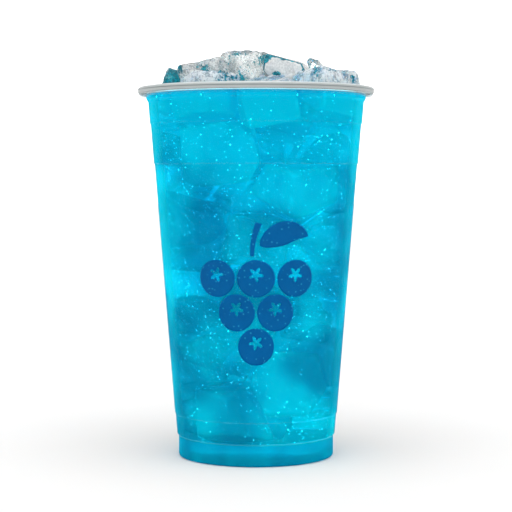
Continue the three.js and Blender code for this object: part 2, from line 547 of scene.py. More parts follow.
@dataclass(frozen=True)
class BlueLemonade:
    """The drink: clear liquid that takes red away first, then green, and least of all blue.

    Light enters it through the wall without a mirror of its own, and inside it's mirrored as in water.

    Attributes:
        level: the height of the thin line along its top, in millimetres.
        width: the radius of that line.
        index: how much it bends the light.
        colour: what is left of each colour, for the absorption.
        density: how strong the absorption is.
        mirror: the tint of what it mirrors inside.
        dull: its tint in its darker patches.
        bright: its tint in its lighter ones, which are more common towards the top.
        edge: its tint in that line, a painted highlight.
        caught: a painted glow that the line gives off, for the light that it catches from above.
        painted_glow: a painted glow, given off as light, that spreads from the line into the drink just
            below, against the shade under the rim.
        painted_glow_depth: how far down that painted glow reaches.
        base: its tint in the band at the foot.
        foot: the same where that band is darkest, near the table: painted shade.
        band: the heights between which the band ends.
        middle: the height of its middle, from which its painted shade fades upwards and deepens downwards.
        streak: how much the band's pattern is squashed along the height, which makes tall streaks of it.
        cloudiness: the share of the light that it scatters at its surface.
        settled: the same share in the band at the foot, where the syrup settles.
        haze: what is added to it where the wall is seen at a low angle.
        sparkle: the share of red that the surface lets in, so that glitter close behind it looks white.
    """

    level: float
    width: float = 45.4
    index: float = 1.333
    colour: Colour = (0.0, 0.982, 0.9995)
    density: float = 300.0
    mirror: Colour = (0.0, 0.8, 1.0)
    dull: Colour = (0.0, 0.52, 0.66)
    bright: Colour = (0.0, 0.935, 0.98)
    edge: Colour = (0.75, 1.0, 1.0)
    caught: Colour = (0.7, 0.95, 0.85)
    painted_glow: Colour = (0.0, 0.22, 0.42)
    painted_glow_depth: float = 6.3
    base: Colour = (0.0, 0.5, 0.7)
    foot: Colour = (0.0, 0.36, 0.54)
    band: tuple[float, float] = (7.5, 9.3)
    middle: float = 4.5
    streak: float = 0.2
    cloudiness: float = 0.22
    settled: float = 0.45
    haze: float = 0.17
    sparkle: float = 0.06

    def tinted(self, recipe: Recipe, patches: Wire, up: Wire, foot: Wire, thin: Wire) -> Wire:
        """Its tint everywhere.

        Args:
            recipe: the material.
            patches: how bright each patch of it is.
            up: the height.
            foot: 1 in the band at the foot.
            thin: 1 in the line along its top, which has a painted highlight.

        Returns:
            The colour.
        """
        tall = recipe.node("Mapping", Vector=recipe.place(), Scale=(1.0, 1.0, self.streak))
        streaks = recipe.noise(9.0, 1.0, 0.5, recipe.wire(tall))
        # Painted shade: the band at the foot is darker downwards, towards the table.
        low = (streaks + (up - self.middle) * 0.02).between(0.35, 0.65)
        shade = recipe.blend(patches, self.dull, self.bright)
        shade = recipe.blend(foot, shade, recipe.blend(low, self.foot, self.base))
        # Painted highlight: the line along the top is near white.
        return recipe.blend(thin, shade, self.edge)

    def material(self) -> bpy.types.Material:
        """Makes the material."""
        recipe = Recipe("blue_lemonade")
        normal = recipe.bump(recipe.noise(7.0, 1.0), 0.05)
        x, y, up = (recipe.axis(name) for name in "XYZ")
        out = (x * x + y * y).math("SQRT")
        patches = (recipe.noise(26.0, 1.5) + 0.3 * up.between(90.0, 150.0)).between(0.38, 0.66)
        # The line along its top: a painted highlight, with more scatter and a painted glow.
        thin = up.between(self.level - 0.5, self.level + 0.1)
        thin = thin * out.between(self.width - 1.0, self.width - 0.4)
        foot = 1.0 - up.between(*self.band)
        tint = self.tinted(recipe, patches, up, foot, thin)
        glass = recipe.node(
            "BsdfPrincipled",
            Base_Color=tint,
            Roughness=0.02,
            IOR=self.index,
            Transmission_Weight=1.0,
            Specular_Tint=(*self.mirror, 1.0),
            Normal=normal,
        )
        bent = {"Roughness": 0.0, "IOR": self.index, "Normal": normal}
        entry = [
            recipe.node("BsdfRefraction", Color=(self.sparkle, *shade[1:], 1.0), **bent)
            for shade in (self.dull, self.bright)
        ]
        inside = recipe.wire(recipe.node("NewGeometry"), "Backfacing")
        through = recipe.mixed(inside, recipe.mixed(patches, *entry), glass)
        # Painted glow: light given off just under the line, fading downwards.
        lit = up.between(self.level - self.painted_glow_depth, self.level)
        below = recipe.blend(lit, (0.0, 0.0, 0.0), self.painted_glow)
        # The scattering part also gives off the painted glow.
        milky = recipe.node(
            "BsdfPrincipled",
            Base_Color=tint,
            Roughness=0.5,
            Specular_IOR_Level=0.0,
            Emission_Color=recipe.blend(thin, below, self.caught),
            Emission_Strength=1.0,
        )
        volume = recipe.node("VolumeAbsorption", Color=(*self.colour, 1.0), Density=self.density)
        share = self.cloudiness + (self.settled - self.cloudiness) * foot + 0.5 * thin
        share = share + self.haze * recipe.facing().between(0.5, 0.8) * (1.0 - inside)
        return recipe.finish(recipe.mixed(share, through, milky), volume)


@dataclass(frozen=True)
class SunkenIce:
    """Ice under the surface: it hardly bends the light, but its cloudy core scatters it, and its edges carry
    a painted highlight.

    Attributes:
        index: how much it mirrors, as a refractive index against the drink.
        clearest: the least share of light that it scatters.
        cloudiest: the most. Each block's attribute milk, from 0 to 1, and a soft noise choose between them.
        edges: what the painted highlight along the edges adds to the share, by the attribute edge.
        dark: its colour where it's clearest.
        pale: its colour where it's cloudiest.
        rim: the pale colour of that painted highlight, which its edges lean to.
    """

    index: float = 1.12
    clearest: float = 0.08
    cloudiest: float = 0.5
    edges: float = 0.3
    dark: Colour = (0.0, 0.38, 0.6)
    pale: Colour = (0.01, 0.8, 0.95)
    rim: Colour = (0.2, 1.0, 1.0)

    def material(self) -> bpy.types.Material:
        """Makes the material."""
        recipe = Recipe("sunken_ice")
        milk = recipe.trait("milk")
        # Painted highlight: along the edges it scatters more and turns pale.
        edge = recipe.trait("edge") * recipe.noise(9.0).between(0.45, 0.6)
        core = (milk + recipe.noise(16.0, 1.5) - 0.5).between(0.2, 0.9)
        share = self.clearest + (self.cloudiest - self.clearest) * core + self.edges * edge
        tone = (milk + 0.6 * (recipe.noise(9.0) - 0.5)).between(0.1, 0.9)
        shade = recipe.blend(tone, self.dark, self.pale)
        surface = recipe.node(
            "BsdfPrincipled",
            Base_Color=recipe.blend(edge * 0.4, shade, self.rim),
            Roughness=0.3,
            IOR=self.index,
            Alpha=share,
            Normal=recipe.bump(recipe.noise(6.0, 1.5), 0.3),
        )
        return recipe.finish(surface)


@dataclass(frozen=True)
class WetIce:
    """Ice in the air: clear and wet, white where it's frosted, and teal where the drink soaks it.

    It reads four attributes of the piece: frost and grain say how white and how granular it is, soak how
    much of the drink it holds, and hollow how deep the melt has cut at each point.

    Attributes:
        index: how much it bends the light.
        clear: its tint where it's clear.
        deep: the darkest of the drink that it holds.
        teal: the lightest.
        grey: its frost where the grain shades it.
        white: its frost elsewhere.
        veins: how far fine veins of the drink reach in smooth ice, and what granular ice adds.
        shading: how much a fine noise shades the frost, in the same way.
        swirls: how much a broad noise shades granular frost.
        facet_shading: how much patches with crisp borders shade it, as painted shading of flat facets.
        bowls: how much painted shade darkens its hollows.
    """

    index: float = 1.31
    clear: Colour = (0.96, 1.0, 0.98)
    deep: Colour = (0.0, 0.12, 0.17)
    teal: Colour = (0.01, 0.35, 0.44)
    grey: Colour = (0.46, 0.47, 0.47)
    white: Colour = (1.0, 0.985, 0.97)
    veins: tuple[float, float] = (0.7, 2.1)
    shading: tuple[float, float] = (0.2, 2.8)
    swirls: float = 1.2
    facet_shading: float = 0.45
    bowls: float = 0.5

    def frosted(self, recipe: Recipe, fine: Wire, grain: Wire, hollow: Wire) -> Wire:
        """The frost's colour, from grey to white, with painted shade on crisp facets and in its hollows.

        Args:
            recipe: the material.
            fine: a fine noise.
            grain: how granular the ice is.
            hollow: how deep the melt has cut.

        Returns:
            The colour.
        """
        # Painted shade: crisp patches shade it like flat facets, and its hollows are darker.
        crisp = recipe.noise(3.5, 2.0, 0.6).between(0.47, 0.53)
        lit = self.swirls * (recipe.noise(6.0, 1.0) - 0.5) + self.facet_shading * (crisp - 0.5)
        lit = (lit - self.bowls * (hollow - 0.5)) * grain
        lit = lit + 0.5 + (fine - 0.5) * (self.shading[0] + self.shading[1] * grain)
        return recipe.blend(lit.between(0.24, 0.7), self.grey, self.white)

    def material(self) -> bpy.types.Material:
        """Makes the material."""
        recipe = Recipe("wet_ice")
        frost, grain, soak, hollow = (recipe.trait(name) for name in ("frost", "grain", "soak", "hollow"))
        stain = recipe.blend(recipe.noise(1.2).between(0.4, 0.65), self.deep, self.teal)
        fine = recipe.noise(0.75, 2.0, 0.6)
        normal = recipe.bump(recipe.noise(1.8, 3.0, 0.6) + grain * fine, 0.45)
        veins = (self.veins[0] + self.veins[1] * grain) * (recipe.noise(1.3, 3.0, 0.65) - 0.5)
        blue = (soak + 0.5 * (hollow - 0.5) + veins).between(0.38, 0.5)
        glass = recipe.node(
            "BsdfPrincipled",
            Base_Color=recipe.blend(blue, self.clear, self.teal),
            Roughness=0.1 * recipe.noise(3.0, 3.0).between(0.4, 0.7),
            IOR=self.index,
            Transmission_Weight=1.0,
            Normal=normal,
        )
        tone = recipe.blend(blue, self.frosted(recipe, fine, grain, hollow), stain)
        white = recipe.node("BsdfPrincipled", Base_Color=tone, Roughness=0.12, Normal=normal)
        share = (frost + 2.0 * (recipe.noise(5.0, 4.0, 0.65) - 0.5)).between(0.3, 0.8)
        share = share * (0.85 - 0.35 * grain)
        return recipe.finish(recipe.mixed(share.math("MAXIMUM", blue * 0.6), glass, white))


@dataclass(frozen=True)
class Shimmer:
    """The flakes of glitter: shiny, from pale blue to white, and with a painted glint: each gives off light
    as if it caught one.

    Attributes:
        pale: the colour of the bluest flakes.
        white: the colour of the whitest, and of the painted glint that they give off.
        glint: the painted glint that the bluest ones give off.
        brightness: how strong that painted glint is.
    """

    pale: Colour = (0.6, 0.95, 1.0)
    white: Colour = (1.0, 1.0, 1.0)
    glint: Colour = (0.5, 0.95, 1.0)
    brightness: float = 2.3

    def material(self) -> bpy.types.Material:
        """Makes the material."""
        recipe = Recipe("shimmer")
        tone = recipe.noise(2.0)
        surface = recipe.node(
            "BsdfPrincipled",
            Base_Color=recipe.blend(tone, self.pale, self.white),
            Roughness=0.25,
            Metallic=0.3,
            # Painted glint: the flakes give off light.
            Emission_Color=recipe.blend(tone, self.glint, self.white),
            Emission_Strength=self.brightness,
        )
        return recipe.finish(surface)


@dataclass(frozen=True)
class BlueInk:
    """The print's ink: dark blue, a little uneven and just see-through, with fine specks of shimmer.

    Attributes:
        dark: its darkest tint.
        light: its lightest.
        speck: the specks' colour.
        apart: how far apart the specks are, in millimetres.
    """

    dark: Colour = (0.0, 0.078, 0.25)
    light: Colour = (0.0, 0.112, 0.33)
    speck: Colour = (0.05, 0.75, 1.0)
    apart: float = 1.7

    def material(self) -> bpy.types.Material:
        """Makes the material."""
        recipe = Recipe("blue_ink")
        tone = recipe.noise(5.0, 3.0)
        cells = recipe.node("TexVoronoi", Vector=recipe.place(), Scale=1 / (self.apart * METRES))
        specks = 0.5 * (1.0 - recipe.wire(cells, "Distance").between(0.08, 0.17))
        surface = recipe.node(
            "BsdfPrincipled",
            Base_Color=recipe.blend(specks, recipe.blend(tone, self.dark, self.light), self.speck),
            Roughness=0.5 + 0.15 * tone,
            Specular_IOR_Level=0.05,
            Alpha=0.9 + 0.08 * recipe.noise(1.2),
            Normal=recipe.bump(recipe.noise(0.8), 0.02),
        )
        return recipe.finish(surface)


# The cup's wall


@dataclass(frozen=True)
class Ring:
    """A small outward step in the wall: how far up it is, how far it steps out, and over what height."""

    height: float
    step: float
    rise: float


@dataclass(frozen=True)
class Wall:
    """The outside of the cup's wall as a radius for each height, and the sizes that the other pieces need.

    Attributes:
        taper: how much the radius grows for each millimetre up.
        band_radius: the radius of the straight band at the foot.
        ledge: the step at the top of that band.
        rings: the steps further up.
        under_lip: the height up to which the ice is held by the wall.
        softening: how far to both sides the bends are averaged.
    """

    height: float = 153.1
    rim_radius: float = 49.0
    thickness: float = 0.5
    taper: float = 0.079
    band_radius: float = 32.35
    ledge: Ring = Ring(8.9, 0.65, 0.4)
    rings: tuple[Ring, ...] = (
        Ring(17.5, 0.32, 0.7),
        Ring(121.0, 0.36, 0.8),
        Ring(137.5, 0.36, 0.8),
        Ring(147.0, 0.76, 1.0),
    )
    under_lip: float = 149.0
    level: float = 150.3
    softening: float = 0.25

    def corners(self) -> tuple[Array, Array]:
        """The heights and radii where the wall bends, going up, and a millimetre past both ends."""
        height, radius = self.ledge.height, self.band_radius
        points = [(-1.0, radius)]
        for ring in (self.ledge, *self.rings):
            radius += self.taper * (ring.height - height)
            points.append((ring.height, radius))
            height, radius = ring.height + ring.rise, radius + ring.step
            points.append((height, radius))
        heights, radii = np.array([*points, (self.height + 1, radius)]).T
        return heights, radii

    def outside(self, height: Array | float) -> Array:
        """The wall's outer radius at a height, averaged over a little height so that the bends are soft."""
        heights, radii = self.corners()
        spread = np.linspace(-1, 1, 7) * self.softening
        samples = [np.interp(np.asarray(height) + shift, heights, radii) for shift in spread]
        return np.mean(samples, axis=0)

    def inside(self, height: Array | float) -> Array:
        """The wall's inner radius at a height."""
        return self.outside(height) - self.thickness

    def steps(self, low: float, high: float, coarse: float = 1.6, fine: float = 0.12) -> Array:
        """Heights from low to high, a coarse step apart, and a fine one at the ledge and the rings."""
        bends = [(ring.height - 0.5, ring.height + ring.rise + 0.5) for ring in (self.ledge, *self.rings)]
        near = [np.arange(start, end, fine) for start, end in bends]
        count = max(2, math.ceil((high - low) / coarse))
        heights = np.unique(np.concatenate([np.linspace(low, high, count + 1), *near]).round(4))
        return heights[(heights >= low - 1e-6) & (heights <= high + 1e-6)]


@dataclass
class ColdCup:
    """The cup: a foot ring round a recess, a tapered wall with rings, and a rim rolled into a curl.

    Attributes:
        ring_inside: the inner radius of the flat ring that it stands on.
        recess_radius: the radius of the recess under its floor.
        recess_height: how deep that is.
        dome: how much higher its roof is in the middle.
        corner: the radius between the foot and the wall.
        lip_inner: the inner radius of the rim's curl.
        lip_above: how far the curl reaches above its widest line.
        lip_below: how far below it.
        curl_end: where the curl ends underneath, in degrees from the outward direction.
        crease: the height of the groove round the curl.
        crease_depth: how deep the groove is.
    """

    wall: Wall
    ring_inside: float = 28.6
    recess_radius: float = 27.4
    recess_height: float = 3.6
    dome: float = 0.3
    corner: float = 1.0
    lip_inner: float = 45.0
    lip_above: float = 1.15
    lip_below: float = 2.95
    curl_end: float = -130.0
    crease: float = 151.72
    crease_depth: float = 0.16
    crease_width: float = 0.22
    steps: int = 160

    def lip(self, inset: float, count: int) -> tuple[Array, Array]:
        """The curl's outline from its free end, under and over, to the inner wall.

        It's an ellipse with one height above its widest line and another below it, drawn in by inset.
        """
        angle = np.radians(np.linspace(self.curl_end, 180.0, count))
        half = (self.wall.rim_radius - self.lip_inner) / 2
        middle = self.wall.rim_radius - half
        tall = np.where(np.sin(angle) > 0, self.lip_above, self.lip_below) - inset
        radius = middle + (half - inset) * np.cos(angle)
        height = self.wall.height - self.lip_above + tall * np.sin(angle)
        dip = self.crease_depth * np.exp(-(((height - self.crease) / self.crease_width) ** 2))
        radius -= np.where(np.cos(angle) > 0, dip, 0.0)
        return radius, height

    def underside(self, inset: float) -> tuple[Array, Array]:
        """The floor's outline from the axis to the wall, raised by inset: recess, its side, foot ring."""
        side = self.wall.band_radius - inset
        arc = np.radians(np.linspace(-90, 0, 7))
        slope = np.linspace(0, 1, 9)
        ease = slope * slope * (3 - 2 * slope)
        inner = np.linspace(0, self.recess_radius - 1, 12)
        sagitta = self.dome * (1 - (inner / self.recess_radius) ** 2)
        low_radius = self.ring_inside + inset
        high_radius = self.recess_radius + 0.6 * inset
        recess = self.recess_height - self.dome
        radius = [inner, high_radius + (low_radius - high_radius) * slope]
        radius.append(side - self.corner * (1 - np.cos(arc)))
        height = [recess + sagitta, recess * (1 - ease), self.corner * (1 + np.sin(arc))]
        return np.concatenate(radius), np.concatenate(height) + inset

    def build(self) -> bpy.types.Object:
        """Turns the cup's outline and dresses it."""
        thick = self.wall.thickness
        up = self.wall.steps(1.6, self.wall.height - self.lip_above)
        down = self.wall.steps(2.4, self.wall.height - self.lip_above)[::-1]
        floor_out = self.underside(0.0)
        floor_in = self.underside(thick)
        curl_in = self.lip(thick * 0.9, 64)
        curl_out = self.lip(0.0, 96)
        radius = [floor_out[0], self.wall.outside(up)[:-1], curl_in[0][::-1], curl_out[0]]
        radius += [self.wall.inside(down)[1:], floor_in[0][::-1]]
        height = [floor_out[1], up[:-1], curl_in[1][::-1], curl_out[1], down[1:], floor_in[1][::-1]]
        shell = Shell()
        shell.add_turned(np.concatenate(radius), np.concatenate(height), self.steps)
        rolled = shell.middles()[:, 2] > self.wall.under_lip - 0.4
        finishes = ClearPlastic().material(), RolledPlastic(self.crease).material()
        return settle(shell.object("cup_clear", *finishes, choice=rolled.astype(int)), Slot.PLASTIC, ["cup"])


@dataclass
class Drink:
    """The drink: it reaches a little into the wall, and its surface climbs the wall in a meniscus.

    Attributes:
        into_wall: how far it reaches into the wall, so that no air shows between the two.
        meniscus: how far its edge climbs.
        meniscus_width: over what distance that fades.
    """

    cup: ColdCup
    into_wall: float = 0.42
    meniscus: float = 0.25
    meniscus_width: float = 1.2
    steps: int = 160

    def build(self) -> bpy.types.Object:
        """Turns the drink's outline and dresses it."""
        wall = self.cup.wall
        inset = wall.thickness - self.into_wall
        floor = self.cup.underside(inset)
        up = wall.steps(2.2, wall.level)
        edge = wall.outside(wall.level) - inset
        inwards = np.concatenate([edge - np.geomspace(0.05, edge - 1, 40), [0.0]])
        climb = self.meniscus * np.exp(-(edge - inwards) / self.meniscus_width)
        radius = np.concatenate([floor[0], wall.outside(up) - inset, inwards])
        height = np.concatenate([floor[1], up[:-1], [wall.level + self.meniscus], wall.level + climb])
        shell = Shell()
        shell.add_turned(radius, height, self.steps)
        return settle(shell.object("drink_blue", BlueLemonade(wall.level).material()), Slot.DRINK, ["drink"])


# Ice


def turning(degrees: Sequence[float]) -> Array:
    """The matrix that turns about Z, then Y, then X."""
    (cx, cy, cz), (sx, sy, sz) = np.cos(np.radians(degrees)), np.sin(np.radians(degrees))
    about_x = np.array([[1, 0, 0], [0, cx, -sx], [0, sx, cx]])
    about_y = np.array([[cy, 0, sy], [0, 1, 0], [-sy, 0, cy]])
    about_z = np.array([[cz, -sz, 0], [sz, cz, 0], [0, 0, 1]])
    return about_x @ about_y @ about_z


def vary(piece: int, trait: int) -> float:
    """The same number from -1 to 1 each time for a piece and a trait: what is left of a large sine."""
    wave = math.sin(piece * 12.9898 + trait * 78.233) * 43758.5453
    return 2 * (wave - math.floor(wave)) - 1


def uneven_sizes(sizes: Sequence[float], share: float, piece: int) -> Array:
    """A piece's three sizes, each changed by up to a share of itself."""
    return np.array([size * (1 + share * vary(piece, 4 + axis)) for axis, size in enumerate(sizes)])


def cube_sphere(cells: int) -> tuple[Array, Numbers]:
    """Directions over a sphere: an evened grid on each face of a cube, drawn in to length 1.

    The points that the cube's faces share are merged.

    Args:
        cells: how many cells each side of the cube has.

    Returns:
        The directions, and quads that point outwards.
    """
    line = np.tan(np.linspace(-np.pi / 4, np.pi / 4, cells + 1))
    across, up = np.meshgrid(line, line)
    sheet = np.stack([across, up, np.ones_like(across)], axis=-1)
    sides = [sheet[..., order] * sign for order in ([0, 1, 2], [2, 0, 1], [1, 2, 0]) for sign in (1, -1)]
    number = np.arange((cells + 1) ** 2).reshape(cells + 1, cells + 1)
    points = np.concatenate(sides).reshape(-1, 3)
    points /= np.linalg.norm(points, axis=1, keepdims=True)
    faces = np.concatenate([quads(number + side * number.size) for side in range(6)])
    kept, where = np.unique(points.round(6), axis=0, return_inverse=True)
    faces = where.reshape(-1)[faces]
    first, second, third = (kept[faces[:, corner]] for corner in range(3))
    inward = np.sum(first * np.cross(second - first, third - second), axis=1) < 0
    faces[inward] = faces[inward][:, ::-1]
    return kept / np.linalg.norm(kept, axis=1, keepdims=True), faces


@dataclass
class Block:
    """One piece of ice: planes with soft corners between them, worn by the melt.

    Attributes:
        piece: its number, which its traits are worked out from.
        turn: its turn in degrees.
        spacing: the gap between it and the next piece.
        wall_gap: the gap between it and the wall.
        floor: the height that it doesn't reach below.
        power: how crisp its corners are.
        melt: the largest share of its size that has melted off.
        neighbours: the pieces round it, halfway to which it ends.
    """

    piece: int
    name: str
    centre: Array
    half: Array
    turn: tuple[float, float, float]
    spacing: float = 0.4
    wall_gap: float = 0.7
    floor: float = 4.8
    power: float = 11.0
    melt: float = 0.07
    neighbours: list["Block"] = field(default_factory=list)

    def planes(self) -> tuple[Array, Array]:
        """The normals and distances of its own six faces and of the planes halfway to its neighbours."""
        axes = turning(self.turn).T
        normals = [*axes, *-axes]
        distances = [*self.half, *self.half]
        reach = np.linalg.norm(self.half)
        for other in self.neighbours:
            away = other.centre - self.centre
            apart = np.linalg.norm(away)
            other_reach = np.linalg.norm(other.half)
            if other is self or apart > reach + other_reach:
                continue
            normals.append(away / apart)
            distances.append(apart * reach / (reach + other_reach) - self.spacing / 2)
        return np.array(normals), np.array(distances)

    def worn(self, way: Array) -> Array:
        """The melt from 0 to 1 in each direction: two slow waves that cross, and two faster ones."""
        x, y, z = way.T
        phase = self.piece * 2.4
        slow = np.sin(3.1 * x + 2.3 * y + phase) * np.sin(2.7 * z - 1.9 * x + 1.7 * phase)
        fast = np.sin(5.3 * y - 4.1 * z + 0.6 * phase) * np.sin(4.7 * x + 3.7 * z - phase)
        return (1.5 + slow + 0.5 * fast) / 3

    def lean(self, way: Array) -> Array:
        """For each direction and plane, one over the distance at which the plane is met, or 0 if never."""
        normals, distances = self.planes()
        return np.maximum(way @ normals.T, 0) / distances

    def reach(self, way: Array) -> Array:
        """How far it reaches in each direction: the soft least of its planes' distances, less the melt."""
        whole = np.sum(self.lean(way) ** self.power, axis=1) ** (-1 / self.power)
        return whole * (1 - self.melt * self.worn(way))

    def edge(self, way: Array, sharpness: float = 16.0) -> Array:
        """How near each direction is to an edge: 1 where two planes are met at once, and 0 well off it."""
        nearest = np.sort(self.lean(way), axis=1)
        return (nearest[:, -2] / nearest[:, -1]) ** sharpness

    def held(self, way: Array, reach: Array, wall: Wall) -> Array:
        """The reach, drawn in where the cup's floor is nearer, or its wall, by the root of a quadratic."""
        down = np.maximum(-way[:, 2], 1e-6)
        reach = np.minimum(reach, (self.centre[2] - self.floor) / down)
        height = np.minimum(self.centre[2] + way[:, 2] * reach, wall.under_lip)
        limit = wall.inside(height) - self.wall_gap
        x, y = self.centre[:2]
        across = np.maximum(way[:, 0] ** 2 + way[:, 1] ** 2, 1e-9)
        along = (x * way[:, 0] + y * way[:, 1]) / across
        most = -along + np.sqrt(np.maximum(along**2 + (limit**2 - x**2 - y**2) / across, 0))
        return np.minimum(reach, most)

    def surface(self, way: Array, wall: Wall, relief: Callable[[Array], Array]) -> Array:
        """Its points in each direction, sunk by a fine relief that is read at the points themselves.

        Args:
            way: the directions.
            wall: the cup's wall, which holds it.
            relief: how deep the surface is worn at a point, in millimetres.

        Returns:
            The points.
        """
        reach = self.held(way, self.reach(way), wall)
        points = self.centre + way * reach[:, None]
        return points - way * relief(points)[:, None]


@dataclass(frozen=True)
class Relief:
    """The fine wear of a piece of ice: broad bowls with ridges between them, then bumps and a finer grain.

    Attributes:
        bowl, bump, grain: how wide the three are.
        bowl_depth, bump_depth, grain_depth: how deep they are.
        raised: how far the surface is raised first, so that the form keeps its size.
        level: the height below which the wear is slight.
        seed: what sets one piece's wear apart from another's.
    """

    bowl: float = 5.0
    bowl_depth: float = 0.55
    bump: float = 2.3
    bump_depth: float = 0.4
    grain: float = 1.1
    grain_depth: float = 0.16
    raised: float = 0.0
    level: float = -99.0
    seed: int = 3

    def __call__(self, points: Array) -> Array:
        """How deep the surface is worn at each point, in millimetres."""
        bowls = np.clip(1.1 - dimples(points, self.bowl, self.seed), 0, 1) ** 1.5
        bumps = cloud(points, self.bump, self.seed + 5)
        grain = cloud(points, self.grain, self.seed + 9)
        above = 0.15 + 0.85 * np.clip((points[:, 2] - self.level) / 2.5, 0, 1)
        worn = self.bowl_depth * bowls + self.bump_depth * bumps + self.grain_depth * grain
        return (worn - self.raised) * above


@dataclass(frozen=True)
class Look:
    """How a block in the heap looks.

    Attributes:
        frost: how white it is.
        grain: how granular it is.
        soak: how much of the drink it holds all over.
        rim: how much more it holds along its edges.
    """

    frost: float = 0.85
    grain: float = 0.75
    soak: float = 0.0
    rim: float = 0.25

    def relief(self, level: float, seed: int) -> Relief:
        """The wear of such a block above the drink: the more granular it is, the deeper."""
        return Relief(
            bowl_depth=0.35 + 0.35 * self.grain,
            bump=2.9,
            bump_depth=0.15 + 1.3 * self.grain,
            grain_depth=0.05 + 0.45 * self.grain,
            raised=0.2 + 0.95 * self.grain,
            level=level,
            seed=seed,
        )


